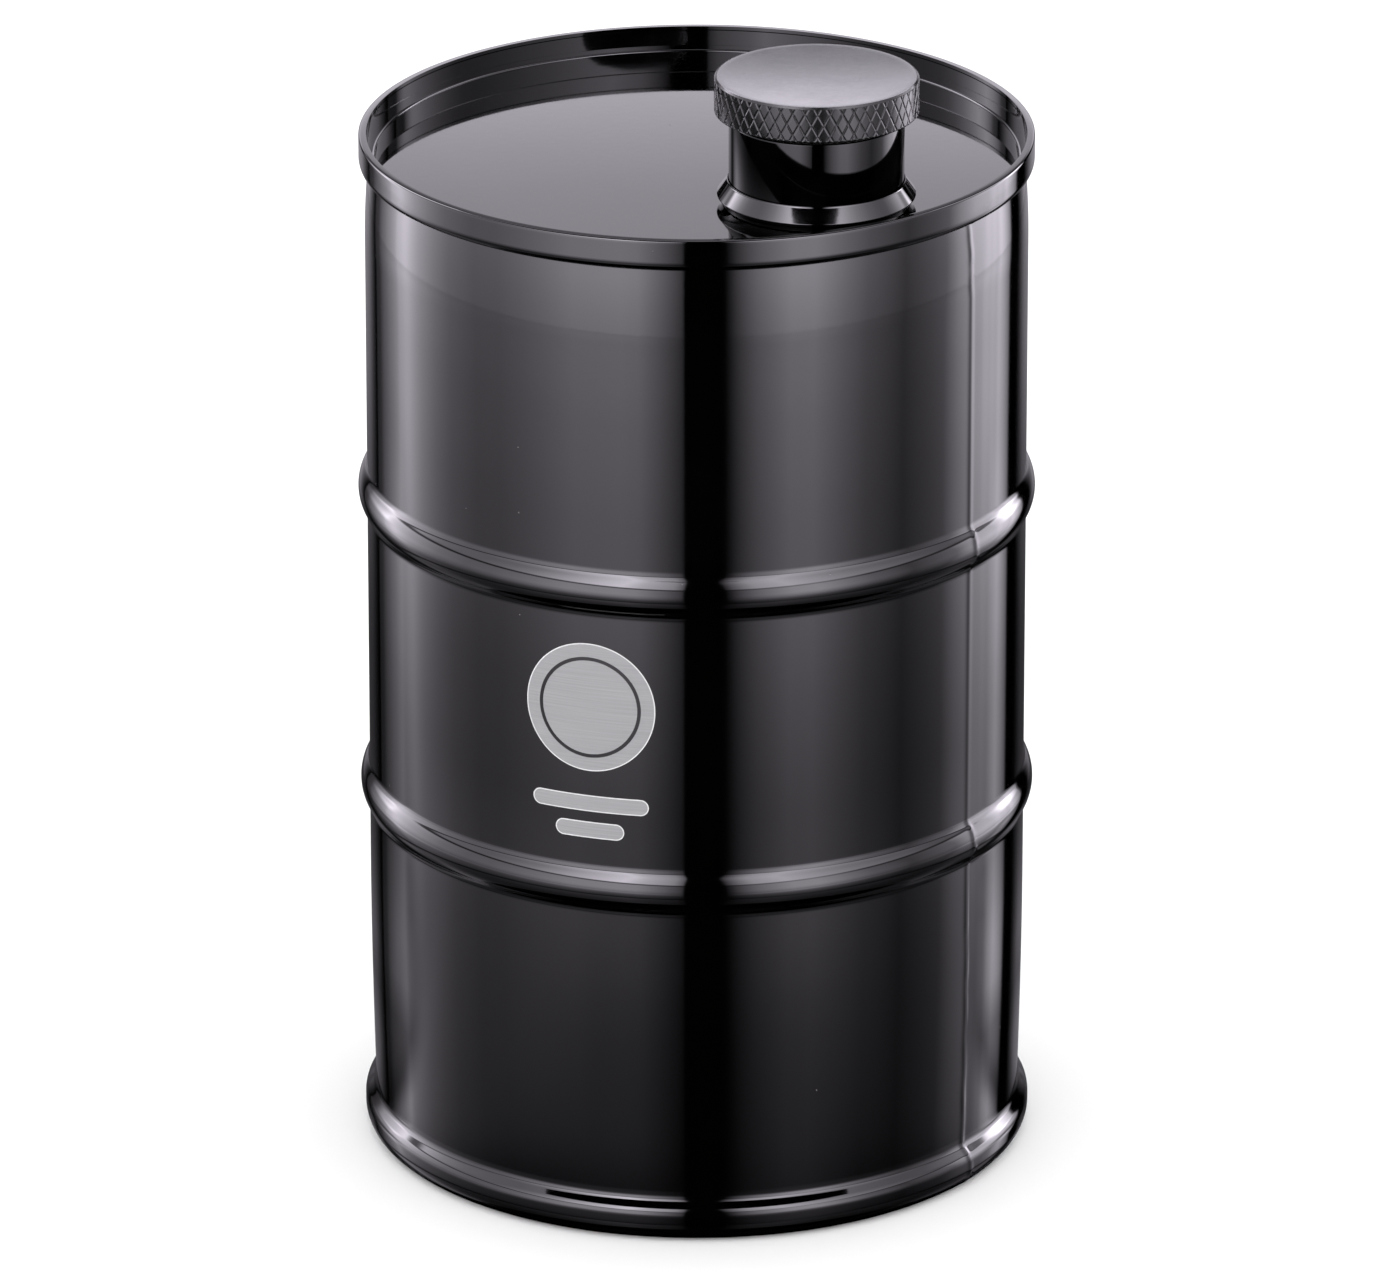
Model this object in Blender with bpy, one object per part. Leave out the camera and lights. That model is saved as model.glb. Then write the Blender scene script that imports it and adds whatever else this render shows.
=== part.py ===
"""Table oil can in the shape of a steel oil drum, with a knurled screw cap on an offset neck.

Units are metres and +Z is up. The origin is the centre of the base, on the surface that the can
stands on. The front faces -Y, and the neck stands at the front right of the lid.
"""

import math

import bmesh
import bpy
from mathutils import Vector

# Drum
BODY_RADIUS = 0.0400
BODY_HEIGHT = 0.1280
SHEET = 0.00042
MATE_GAP = 0.00012
RIM_RADIUS = 0.04069
RIM_BAND = 0.00283
RIM_LIP_WIDTH = 0.00094
RIM_CURL = 0.00111
NECK_IN_LENGTH = 0.0092
EDGE_ROUND = 0.0003

# Rolling hoops
HOOP_SHARES = (0.6486, 0.3524)
HOOP_HEIGHT = 0.00108
HOOP_FILLET = 0.0016
HOOP_CREST_RADIUS = 0.0035

# Bottom chime
CHIME_RADIUS = 0.04086
CHIME_TOP = 0.0032
CHIME_BOTTOM = 0.0024
CHIME_FILLET = 0.0012
CHIME_CREST_RADIUS = 0.0017
CHIME_SLOPE_ANGLE = 45
CHIME_TURN_UNDER = 0.0026
CHIME_TURN_ANGLE = 62
WALL_AT_CHIME = 0.03955
WALL_TAPER_TOP = 0.0200
BASE_EDGE_RADIUS = 0.0392
BASE_LIP_RADIUS = 0.0382

# Lid and base pans
PAN_SHEET = 0.0004
LEDGE_DEPTH = 0.0027
PANEL_DEPTH = 0.0042
LEDGE_INNER_RADIUS = 0.0387
PANEL_RADIUS = 0.0383
PAN_BEND = 0.0003
BASE_RECESS = 0.0030

# Neck
NECK_OFFSET = 0.0202
NECK_AZIMUTH = math.radians(-45)
NECK_RADIUS = 0.0105
NECK_WALL = 0.0008
NECK_HEIGHT = 0.0108
NECK_FLANGE_RADIUS = 0.0120
NECK_FLANGE = 0.0006
NECK_SEAT_RADIUS = 0.0084
COLLAR_RADIUS = 0.0119
COLLAR_FOOT_RADIUS = 0.0112
COLLAR_CREST = 0.0012
COLLAR_HEIGHT = 0.0031
LID_CLEARANCE = 0.00015

# Thread bush and pourer
BUSH_INNER_RADIUS = 0.0085
BUSH_LENGTH = 0.0074
BUSH_SETBACK = 0.0002
POURER_DISC_RADIUS = 0.0089
POURER_DISC = 0.0014
SPOUT_RADIUS = 0.0042
SPOUT_BORE = 0.0035
SPOUT_LIP_RADIUS = 0.0046
SPOUT_LIP_LENGTH = 0.0018
SPOUT_SETBACK = 0.0008
SPOUT_CUT_ANGLE = math.radians(14)
LIP_TRIM = 0.0001
BREATHER_RADIUS = 0.0008
BREATHER_BORE = 0.0004
BREATHER_OFFSET = 0.0057
BREATHER_ABOVE = 0.0030
BREATHER_BELOW = 0.0140

# Cap
CAP_RADIUS = 0.01225
CAP_HEIGHT = 0.0044
CAP_CHAMFER = 0.00025
CAP_LIFT = 0.0007
KNURL_DEPTH = 0.00022
KNURL_ROWS = 5
RECESS_RADIUS = 0.00895
RECESS_DEPTH = 0.00155
PLUG_FLANGE_RADIUS = 0.0088
PLUG_RADIUS = 0.0081
PLUG_BORE = 0.0069
PLUG_LENGTH = 0.0070
PLUG_CHAMFER = 0.0003
GASKET_OUTER_RADIUS = 0.0102
GASKET_INNER_RADIUS = 0.0087

# Facets round each turned piece
DRUM_SEGMENTS = 48
NECK_SEGMENTS = 32
CAP_SEGMENTS = 60
TUBE_SEGMENTS = 16

SHARP_ANGLE = math.radians(35)
WELD_DISTANCE = 1e-7

PANEL_Z = BODY_HEIGHT - PANEL_DEPTH
NECK_TOP = PANEL_Z + NECK_HEIGHT
CAP_BOTTOM = NECK_TOP + CAP_LIFT
CAP_TOP = CAP_BOTTOM + CAP_HEIGHT
POURER_TOP = NECK_TOP - BUSH_SETBACK - BUSH_LENGTH - MATE_GAP
NECK_PLACE = Vector(
    (NECK_OFFSET * math.cos(NECK_AZIMUTH), NECK_OFFSET * math.sin(NECK_AZIMUTH), 0)
)
NECK_BORE = NECK_RADIUS - NECK_WALL


def clear_scene():
    for obj in list(bpy.data.objects):
        bpy.data.objects.remove(obj)


def make_material(name, colour, roughness, metallic):
    material = bpy.data.materials.new(name)
    material.use_nodes = True
    shader = material.node_tree.nodes["Principled BSDF"]
    shader.inputs["Base Color"].default_value = (*colour, 1)
    shader.inputs["Roughness"].default_value = roughness
    shader.inputs["Metallic"].default_value = metallic
    return material


def arc(centre, radius, start, end, steps):
    """Points on an arc in the half plane of (radius, height), from start to end in degrees."""
    points = []
    for i in range(steps + 1):
        angle = math.radians(start + (end - start) * i / steps)
        points.append((centre[0] + radius * math.cos(angle), centre[1] + radius * math.sin(angle)))
    return points


def swell(wall, crest, height, fillet, crest_radius, fillet_steps, crest_steps):
    """Runs down a wall and out to a crest at the given height: a hollow fillet, then a round."""
    across = wall + fillet - (crest - crest_radius)
    rise = math.sqrt((fillet + crest_radius) ** 2 - across**2)
    turn = math.degrees(math.atan2(rise, across))
    hollow = arc((wall + fillet, height + rise), fillet, 180, 180 + turn, fillet_steps)
    crown = arc((crest - crest_radius, height), crest_radius, turn, 0, crest_steps)
    return hollow + crown[1:]


def shoulder(wall, crest, height, fillet, crest_radius, slope, fillet_steps, crest_steps):
    """Like a swell, with a straight slope, in degrees, between its fillet and its round."""
    radii = fillet + crest_radius
    run = crest - wall - radii * (1 - math.cos(math.radians(slope)))
    rise = radii * math.sin(math.radians(slope)) + run / math.tan(math.radians(slope))
    hollow = arc((wall + fillet, height + rise), fillet, 180, 180 + slope, fillet_steps)
    crown = arc((crest - crest_radius, height), crest_radius, slope, 0, crest_steps)
    return hollow + crown


def taper(start, end, shares):
    """Points between two on a wall that leaves the start straight and bends in towards the end."""
    points = []
    for share in shares:
        radius = start[0] + (end[0] - start[0]) * share**2.5
        points.append((radius, start[1] + (end[1] - start[1]) * share))
    return points


def hoop(height):
    """A rolling hoop pressed out of the wall, the same above and below its crest."""
    crest = BODY_RADIUS + HOOP_HEIGHT
    upper = swell(BODY_RADIUS, crest, height, HOOP_FILLET, HOOP_CREST_RADIUS, 1, 2)
    lower = [(radius, 2 * height - z) for radius, z in reversed(upper[:-1])]
    return upper + lower


def parallel(path, distance):
    """The path moved to the right of its direction, which is inward where it runs down a wall."""
    normals = []
    for (r0, z0), (r1, z1) in zip(path, path[1:]):
        length = math.hypot(r1 - r0, z1 - z0)
        normals.append(((z1 - z0) / length, (r0 - r1) / length))
    moved = []
    for i, (radius, z) in enumerate(path):
        before = normals[max(i - 1, 0)]
        after = normals[min(i, len(normals) - 1)]
        stretch = distance / (1 + before[0] * after[0] + before[1] * after[1])
        moved.append(
            (radius + (before[0] + after[0]) * stretch, z + (before[1] + after[1]) * stretch)
        )
    return moved


def sheet(path, thickness):
    """The closed outline of sheet metal whose outer face follows the path."""
    return path + list(reversed(parallel(path, thickness)))


def spin(outline, segments, closed=True):
    """Turns an outline of (radius, height) points once round Z."""
    bm = bmesh.new()
    verts = [bm.verts.new((radius, 0, z)) for radius, z in outline]
    pairs = list(zip(verts, verts[1:]))
    if closed:
        pairs.append((verts[-1], verts[0]))
    edges = [bm.edges.new(pair) for pair in pairs]
    bmesh.ops.spin(
        bm,
        geom=verts + edges,
        cent=(0, 0, 0),
        axis=(0, 0, 1),
        angle=2 * math.pi,
        steps=segments,
        use_merge=True,
    )
    bmesh.ops.remove_doubles(bm, verts=bm.verts, dist=WELD_DISTANCE)
    bmesh.ops.recalc_face_normals(bm, faces=bm.faces)
    return bm


def place(bm, name, material, location=(0, 0, 0), parent=None):
    mesh = bpy.data.meshes.new(name)
    bm.to_mesh(mesh)
    bm.free()
    mesh.materials.append(material)
    mesh.shade_smooth()
    mesh.set_sharp_from_angle(angle=SHARP_ANGLE)
    obj = bpy.data.objects.new(name, mesh)
    bpy.context.collection.objects.link(obj)
    obj.location = location
    obj.parent = parent
    return obj


def cut(obj, cutter):
    """Takes the cutter's shape out of the object, and keeps the cutter as a hidden guide."""
    cutter.hide_render = True
    cutter.display_type = "WIRE"
    modifier = obj.modifiers.new(cutter.name, "BOOLEAN")
    modifier.operation = "DIFFERENCE"
    modifier.solver = "EXACT"
    modifier.object = cutter


def cylinder(radius, bottom, top, segments):
    return spin([(0, top), (radius, top), (radius, bottom), (0, bottom)], segments, closed=False)


def ring(outer, inner, bottom, top, segments):
    return spin([(inner, top), (outer, top), (outer, bottom), (inner, bottom)], segments)


def body_shell(material):
    """The rolled and side-welded sheet, with its lip, two hoops and the bottom chime."""
    band_bottom = BODY_HEIGHT - RIM_BAND
    shoulder_radius = RIM_RADIUS - RIM_CURL
    shoulder_z = band_bottom - RIM_CURL
    path = [(RIM_RADIUS - RIM_LIP_WIDTH, BODY_HEIGHT)]
    path += arc((RIM_RADIUS - EDGE_ROUND, BODY_HEIGHT - EDGE_ROUND), EDGE_ROUND, 90, 0, 2)
    path += arc((shoulder_radius, band_bottom), RIM_CURL, 0, -90, 3)
    path += [
        ((2 * shoulder_radius + BODY_RADIUS) / 3, shoulder_z - NECK_IN_LENGTH / 3),
        (BODY_RADIUS, shoulder_z - NECK_IN_LENGTH),
    ]
    for share in HOOP_SHARES:
        path += hoop(share * BODY_HEIGHT)
    chime = shoulder(
        WALL_AT_CHIME,
        CHIME_RADIUS,
        CHIME_TOP,
        CHIME_FILLET,
        CHIME_CREST_RADIUS,
        CHIME_SLOPE_ANGLE,
        2,
        2,
    )
    path += taper((BODY_RADIUS, WALL_TAPER_TOP), chime[0], (0, 0.4, 0.75))
    path += chime
    turn_centre = (CHIME_RADIUS - CHIME_TURN_UNDER, CHIME_BOTTOM)
    path += arc(turn_centre, CHIME_TURN_UNDER, 0, -CHIME_TURN_ANGLE, 3)
    path += [(BASE_EDGE_RADIUS, 0), (BASE_LIP_RADIUS, 0)]
    place(spin(sheet(path, SHEET), DRUM_SEGMENTS), "body_shell", material)


def lid_pan(material):
    """The stepped pan that closes the top, hung by its flange under the rolled lip."""
    flange = RIM_RADIUS - RIM_LIP_WIDTH
    ledge = BODY_HEIGHT - LEDGE_DEPTH
    path = [(0, PANEL_Z)]
    path += arc((PANEL_RADIUS, PANEL_Z + PAN_BEND), PAN_BEND, -90, -20, 2)
    path += arc((LEDGE_INNER_RADIUS + PAN_BEND, ledge - PAN_BEND), PAN_BEND, 170, 90, 2)
    path += arc((flange - PAN_BEND, ledge + PAN_BEND), PAN_BEND, -90, 0, 2)
    path += [(flange, BODY_HEIGHT - SHEET - MATE_GAP)]
    body = spin(sheet(path, PAN_SHEET), DRUM_SEGMENTS, closed=False)
    obj = place(body, "lid_pan", material)
    hole = cylinder(
        NECK_RADIUS + LID_CLEARANCE, PANEL_Z - 0.003, PANEL_Z + 0.003, NECK_SEGMENTS
    )
    cut(obj, place(hole, "neck_hole_guide", material, NECK_PLACE))


def base_pan(material):
    """The recessed bottom, a shallow pan with its flange down, held by the turned-in base edge."""
    flange = BASE_EDGE_RADIUS - MATE_GAP
    path = [(0, BASE_RECESS + PAN_SHEET)]
    path += arc(
        (flange - 2 * PAN_BEND, BASE_RECESS + PAN_SHEET - 2 * PAN_BEND), 2 * PAN_BEND, 90, 0, 3
    )
    path += [(flange, SHEET + MATE_GAP)]
    body = spin(sheet(path, PAN_SHEET), DRUM_SEGMENTS, closed=False)
    place(body, "base_pan", material)


def neck_tube(material, anchor):
    """The neck, flanged under the lid, with an inner seat for the pourer."""
    underside = PANEL_Z - PAN_SHEET - LID_CLEARANCE
    bottom = underside - NECK_FLANGE
    seat = POURER_TOP - POURER_DISC - MATE_GAP
    outline = [(NECK_BORE, NECK_TOP)]
    outline += arc((NECK_RADIUS - EDGE_ROUND, NECK_TOP - EDGE_ROUND), EDGE_ROUND, 90, 0, 2)
    outline += [
        (NECK_RADIUS, underside),
        (NECK_FLANGE_RADIUS, underside),
        (NECK_FLANGE_RADIUS, bottom),
        (NECK_SEAT_RADIUS, bottom),
        (NECK_SEAT_RADIUS, seat),
        (NECK_BORE, seat),
    ]
    place(spin(outline, NECK_SEGMENTS), "neck_tube", material, parent=anchor)


def neck_collar(material, anchor):
    """The flared ring round the foot of the neck, which clamps the lid from above."""
    bottom = PANEL_Z + MATE_GAP
    inner = NECK_RADIUS + MATE_GAP
    outline = [
        (inner, PANEL_Z + COLLAR_HEIGHT),
        (inner + EDGE_ROUND, PANEL_Z + COLLAR_HEIGHT - EDGE_ROUND),
        (COLLAR_RADIUS - EDGE_ROUND, PANEL_Z + COLLAR_CREST + EDGE_ROUND),
        (COLLAR_RADIUS, PANEL_Z + COLLAR_CREST),
        (COLLAR_RADIUS - EDGE_ROUND / 2, PANEL_Z + COLLAR_CREST - EDGE_ROUND),
        (COLLAR_FOOT_RADIUS, bottom),
        (inner, bottom),
    ]
    place(spin(outline, NECK_SEGMENTS), "neck_collar", material, parent=anchor)


def thread_bush(material, anchor):
    top = NECK_TOP - BUSH_SETBACK
    bush = ring(NECK_BORE - MATE_GAP, BUSH_INNER_RADIUS, top - BUSH_LENGTH, top, NECK_SEGMENTS)
    place(bush, "thread_bush", material, parent=anchor)


def pourer(material, seal_material, tube_material, anchor):
    """A disc with a lipped spout, its seal, and the breather tube that lets air in."""
    disc_bottom = POURER_TOP - POURER_DISC
    spout_top = NECK_TOP - SPOUT_SETBACK
    lip_start = spout_top - SPOUT_LIP_LENGTH
    outline = [
        (SPOUT_LIP_RADIUS - (SPOUT_RADIUS - SPOUT_BORE), spout_top),
        (SPOUT_LIP_RADIUS, spout_top),
        (SPOUT_RADIUS, lip_start),
        (SPOUT_RADIUS, POURER_TOP),
        (POURER_DISC_RADIUS, POURER_TOP),
        (POURER_DISC_RADIUS, disc_bottom),
        (SPOUT_BORE, disc_bottom),
        (SPOUT_BORE, lip_start),
    ]
    insert = place(spin(outline, NECK_SEGMENTS), "pourer_insert", material, parent=anchor)

    breather_place = Vector((-BREATHER_OFFSET, 0, 0))
    hole_radius = BREATHER_RADIUS + LID_CLEARANCE
    hole = cylinder(hole_radius, disc_bottom - 0.001, POURER_TOP + 0.001, TUBE_SEGMENTS)
    cut(insert, place(hole, "breather_hole_guide", material, breather_place, anchor))

    slant = bmesh.new()
    bmesh.ops.create_cube(slant, size=4 * SPOUT_LIP_RADIUS)
    bmesh.ops.translate(slant, vec=(0, 0, 2 * SPOUT_LIP_RADIUS), verts=slant.verts)
    slant_place = (SPOUT_LIP_RADIUS, 0, spout_top - LIP_TRIM)
    slant_guide = place(slant, "spout_slant_guide", material, slant_place, anchor)
    slant_guide.rotation_euler = (0, -SPOUT_CUT_ANGLE, 0)
    cut(insert, slant_guide)

    seal = ring(
        NECK_BORE - MATE_GAP,
        POURER_DISC_RADIUS + MATE_GAP,
        disc_bottom,
        POURER_TOP,
        NECK_SEGMENTS,
    )
    place(seal, "pourer_seal", seal_material, parent=anchor)
    tube = ring(
        BREATHER_RADIUS,
        BREATHER_BORE,
        disc_bottom - BREATHER_BELOW,
        POURER_TOP + BREATHER_ABOVE,
        TUBE_SEGMENTS,
    )
    place(tube, "breather_tube", tube_material, breather_place, anchor)


def press_knurl(bm, bottom, top):
    """Sinks every second point of the band's rows, which leaves crossed rows of small diamonds."""
    step = 2 * math.pi / CAP_SEGMENTS
    row_height = (top - bottom) / (KNURL_ROWS + 1)
    for vert in bm.verts:
        row = round((vert.co.z - bottom) / row_height)
        on_band = 1 <= row <= KNURL_ROWS and vert.co.xy.length > RECESS_RADIUS * 1.1
        column = round(math.atan2(vert.co.y, vert.co.x) / step)
        if on_band and (row + column) % 2:
            vert.co.xy *= 1 - KNURL_DEPTH / CAP_RADIUS


def cap(knob_material, plug_material, gasket_material, anchor):
    """The knurled knob with the hollow plug that hangs from it, and the flat gasket."""
    band_bottom = CAP_BOTTOM + CAP_CHAMFER
    band_top = CAP_TOP - CAP_CHAMFER
    rows = KNURL_ROWS + 1
    outline = [(0, CAP_TOP), (CAP_RADIUS - CAP_CHAMFER, CAP_TOP)]
    for i in range(rows + 1):
        outline.append((CAP_RADIUS, band_top - (band_top - band_bottom) * i / rows))
    outline += [
        (CAP_RADIUS - CAP_CHAMFER, CAP_BOTTOM),
        (RECESS_RADIUS, CAP_BOTTOM),
        (RECESS_RADIUS, CAP_BOTTOM + RECESS_DEPTH),
        (0, CAP_BOTTOM + RECESS_DEPTH),
    ]
    knob = spin(outline, CAP_SEGMENTS, closed=False)
    press_knurl(knob, band_bottom, band_top)
    place(knob, "cap_knob", knob_material, parent=anchor)

    flange_top = CAP_BOTTOM + RECESS_DEPTH - MATE_GAP
    plug_bottom = CAP_BOTTOM - PLUG_LENGTH
    ceiling = CAP_BOTTOM + MATE_GAP
    outline = [
        (0, flange_top),
        (PLUG_FLANGE_RADIUS, flange_top),
        (PLUG_FLANGE_RADIUS, ceiling),
        (PLUG_RADIUS, ceiling),
        (PLUG_RADIUS, plug_bottom + PLUG_CHAMFER),
        (PLUG_RADIUS - PLUG_CHAMFER, plug_bottom),
        (PLUG_BORE, plug_bottom),
        (PLUG_BORE, ceiling),
        (0, ceiling),
    ]
    plug = spin(outline, CAP_SEGMENTS, closed=False)
    place(plug, "cap_plug", plug_material, parent=anchor)

    gasket = ring(
        GASKET_OUTER_RADIUS,
        GASKET_INNER_RADIUS,
        NECK_TOP + MATE_GAP,
        CAP_BOTTOM - MATE_GAP,
        NECK_SEGMENTS,
    )
    place(gasket, "cap_gasket", gasket_material, parent=anchor)


def axis_empty(name):
    """An empty on the neck's axis whose own +X points outward from the middle of the drum."""
    empty = bpy.data.objects.new(name, None)
    bpy.context.collection.objects.link(empty)
    empty.location = NECK_PLACE
    empty.rotation_euler = (0, 0, NECK_AZIMUTH)
    return empty


def main():
    clear_scene()
    lacquer = make_material("black_lacquer", (0.012, 0.011, 0.012), 0.08, 0.0)
    satin = make_material("satin_black_metal", (0.045, 0.044, 0.048), 0.38, 0.6)
    steel = make_material("stainless_steel", (0.62, 0.61, 0.60), 0.25, 1.0)
    plastic = make_material("black_plastic", (0.03, 0.03, 0.03), 0.45, 0.0)
    silicone = make_material("clear_silicone", (0.55, 0.55, 0.53), 0.5, 0.0)

    body_shell(lacquer)
    lid_pan(lacquer)
    base_pan(lacquer)

    neck_axis = axis_empty("neck_axis")
    neck_tube(lacquer, neck_axis)
    neck_collar(lacquer, neck_axis)
    thread_bush(steel, neck_axis)
    pourer(plastic, silicone, steel, neck_axis)

    cap_axis = axis_empty("cap_axis")
    cap(satin, plastic, silicone, cap_axis)
    bpy.context.view_layer.update()


main()
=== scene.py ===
"""Looks of the table oil can: fine turned meshes, lacquer, knurl, etched mark and studio light.

Everything is in metres, in the frame's own axes: +Z up, the can's front towards -Y, the centre of
its base at the origin.
"""

import math

import bpy
import numpy as np
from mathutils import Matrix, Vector


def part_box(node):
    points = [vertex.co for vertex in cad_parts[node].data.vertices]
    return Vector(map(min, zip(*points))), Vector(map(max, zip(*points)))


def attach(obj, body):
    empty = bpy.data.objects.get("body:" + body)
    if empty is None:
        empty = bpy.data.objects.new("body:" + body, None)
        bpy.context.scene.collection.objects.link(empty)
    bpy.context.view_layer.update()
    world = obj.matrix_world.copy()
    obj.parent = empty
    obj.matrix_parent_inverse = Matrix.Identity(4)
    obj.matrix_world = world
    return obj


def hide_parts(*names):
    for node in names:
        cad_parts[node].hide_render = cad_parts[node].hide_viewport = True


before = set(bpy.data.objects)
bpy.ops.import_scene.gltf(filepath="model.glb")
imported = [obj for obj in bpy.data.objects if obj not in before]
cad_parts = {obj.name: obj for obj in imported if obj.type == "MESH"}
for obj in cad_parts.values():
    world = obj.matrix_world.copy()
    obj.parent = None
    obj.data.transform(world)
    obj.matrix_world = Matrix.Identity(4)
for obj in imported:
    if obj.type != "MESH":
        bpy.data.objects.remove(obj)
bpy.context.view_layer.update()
SHELL_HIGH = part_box("body_shell")[1]
LID_LOW, LID_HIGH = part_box("lid_pan")
BASE_LOW, BASE_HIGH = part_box("base_pan")
TUBE_LOW, TUBE_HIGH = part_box("neck_tube")
COLLAR_LOW, COLLAR_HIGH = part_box("neck_collar")
BUSH_LOW, BUSH_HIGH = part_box("thread_bush")
POURER_LOW, POURER_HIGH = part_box("pourer_insert")
SEAL_LOW, SEAL_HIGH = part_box("pourer_seal")
AIR_LOW, AIR_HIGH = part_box("breather_tube")
KNOB_LOW, KNOB_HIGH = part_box("cap_knob")
PLUG_LOW, PLUG_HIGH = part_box("cap_plug")
GASKET_LOW, GASKET_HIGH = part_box("cap_gasket")

# Gaps left between neighbouring pieces. A long strip also has a ring of its own near each end.
GAP = 0.00012
UNDERSIDE_GAP = 0.00015
LONG_STRIP = 0.0016
HOLD_REACH = 0.00015

# Drum, measured from the frame's boxes
HOOP_HEIGHT = 0.00108
HEIGHT = SHELL_HIGH.z
BODY_RADIUS = SHELL_HIGH.x - HOOP_HEIGHT
SHEET = 0.00042
RIM_RADIUS = BODY_RADIUS + 0.00069
RIM_BAND = 0.00283
RIM_CURL = 0.00111
RIM_LIP_WIDTH = 0.00094
EDGE_ROUND = 0.0003
NECK_IN_LENGTH = 0.0092
NECK_IN_START = 0.0001
HOOP_HEIGHTS = (0.6486 * HEIGHT, 0.3524 * HEIGHT)
HOOP_FILLET = 0.0016
HOOP_CREST_RADIUS = 0.0035
CHIME_RADIUS = BODY_RADIUS + 0.00086
CHIME_TOP = 0.0032
CHIME_BOTTOM = 0.0024
CHIME_FILLET = 0.0012
CHIME_CREST_RADIUS = 0.0017
CHIME_SLOPE_ANGLE = 45
CHIME_TURN_UNDER = 0.0026
CHIME_TURN_ANGLE = 62
WALL_AT_CHIME = BODY_RADIUS - 0.00045
WALL_TAPER_TOP = 0.0340
TAPER_POWER = 1.8
BASE_EDGE_RADIUS = BODY_RADIUS - 0.0008
BASE_LIP_WIDTH = 0.0010

# Lid and base pans
PAN_SHEET = 0.0004
PANEL_Z = LID_LOW.z + PAN_SHEET
LEDGE_Z = PANEL_Z + 0.0015
LEDGE_INNER_RADIUS = BODY_RADIUS - 0.0013
LEDGE_RUN = 0.0005
LID_LONG_STRIP = 0.0005
LID_HOLD_REACH = 0.00006
PAN_BEND = 0.0003

# Neck and pourer
NECK_CENTRE = (TUBE_LOW + TUBE_HIGH) / 2
NECK_AZIMUTH = math.atan2(NECK_CENTRE.y, NECK_CENTRE.x)
NECK_FLANGE_RADIUS = (TUBE_HIGH.x - TUBE_LOW.x) / 2
NECK_FLANGE = 0.0006
NECK_RADIUS = NECK_FLANGE_RADIUS - 0.0015
NECK_BORE = NECK_RADIUS - 0.0008
NECK_SEAT_RADIUS = 0.0084
COLLAR_RADIUS = (COLLAR_HIGH.x - COLLAR_LOW.x) / 2
COLLAR_FOOT_RADIUS = COLLAR_RADIUS - 0.0007
COLLAR_CREST_Z = PANEL_Z + 0.0012
COLLAR_FILLET = 0.0005
COLLAR_EDGE = 0.00012
COLLAR_SLOPE_ANGLE = 36.5
COLLAR_UNDERCUT_POWER = 0.7
COLLAR_INNER_RADIUS = NECK_RADIUS + GAP
LID_HOLE_RADIUS = NECK_RADIUS + UNDERSIDE_GAP
THREAD_PITCH = 0.0024
THREAD_DEPTH = 0.0006
THREAD_FADE = 0.0008
BUSH_INNER_RADIUS = 0.0085
SPOUT_RADIUS = 0.0042
SPOUT_BORE = 0.0035
SPOUT_LIP_RADIUS = 0.0046
SPOUT_LIP_LENGTH = 0.0018
SPOUT_FILLET = 0.0004
SPOUT_CUT_ANGLE = math.radians(14)
POURER_DISC = 0.0014
AIR_BORE = 0.0004
AIR_EDGE = 0.0001
SEAL_EDGE = 0.00015

# Cap
CAP_RADIUS = (KNOB_HIGH.x - KNOB_LOW.x) / 2
CAP_CHAMFER = 0.00025
KNURL_LINES = 52
KNURL_ANGLE = math.radians(29)
KNURL_GROOVE = 0.00024
KNURL_DEPTH = 0.00008
DISH_DEPTH = 0.00028
DISH_TO = 0.97
FACE_MARGIN = 0.00004
FACE_DEPTH = 0.0006
RECESS_RADIUS = 0.00895
RECESS_DEPTH = 0.00155
PLUG_FLANGE_RADIUS = (PLUG_HIGH.x - PLUG_LOW.x) / 2
PLUG_RADIUS = PLUG_FLANGE_RADIUS - 0.0007
PLUG_BORE = 0.0069
PLUG_CHAMFER = 0.0003
WASHER_PLAY = 0.0006

# Side weld: its place round the drum, its raised line and the slight peak of the joined sheet
WELD_AZIMUTH = math.radians(-35.3)
WELD_WIDTH = 0.00048
WELD_RISE = 0.00006
PEAK_REACH = 0.0040
PEAK_RISE = 0.00008
WELD_FADE = 0.002
WELD_SPAN = math.radians(4)
WELD_COLUMNS = 49

# Etched mark on the front, left of the middle
MARK_AZIMUTH = math.radians(-90 - 18.7)
MARK_RADIUS = 0.0080
MARK_Z = 0.0683
# MARK_EDGE is the width of the lighter border round each shape: a painted highlight along its edges.
MARK_EDGE = 0.00013
MARK_LIFT = 0.00002
MARK_COLUMNS = 96
PLATE_END_SHARE = 0.9995
MARK_RING = (0.80, 0.745)
BARS = (("long", 0.0072, 0.0009, 0.0560), ("short", 0.0042, 0.0009, 0.0526))

# Columns of the turned meshes, and the least angle of a sharp edge
DRUM_COLUMNS = 360
NECK_COLUMNS = 192
KNURL_COLUMNS = 1200
AIR_COLUMNS = 48
SHARP_ANGLE = math.radians(40)

# Camera
CAMERA_TARGET = Vector((0.0004, 0, 0.06256))
CAMERA_DISTANCE = 1.6
CAMERA_PITCH = math.radians(20.97)
SENSOR_WIDTH = 36
LENS = 337.3


# ---------------------------------------------------------------- meshes


def arc(centre, radius, start, end, steps):
    """Points on an arc in the half plane of (radius, height), from start to end in degrees."""
    angles = np.radians(np.linspace(start, end, steps + 1))
    return [(centre[0] + radius * math.cos(a), centre[1] + radius * math.sin(a)) for a in angles]


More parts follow.
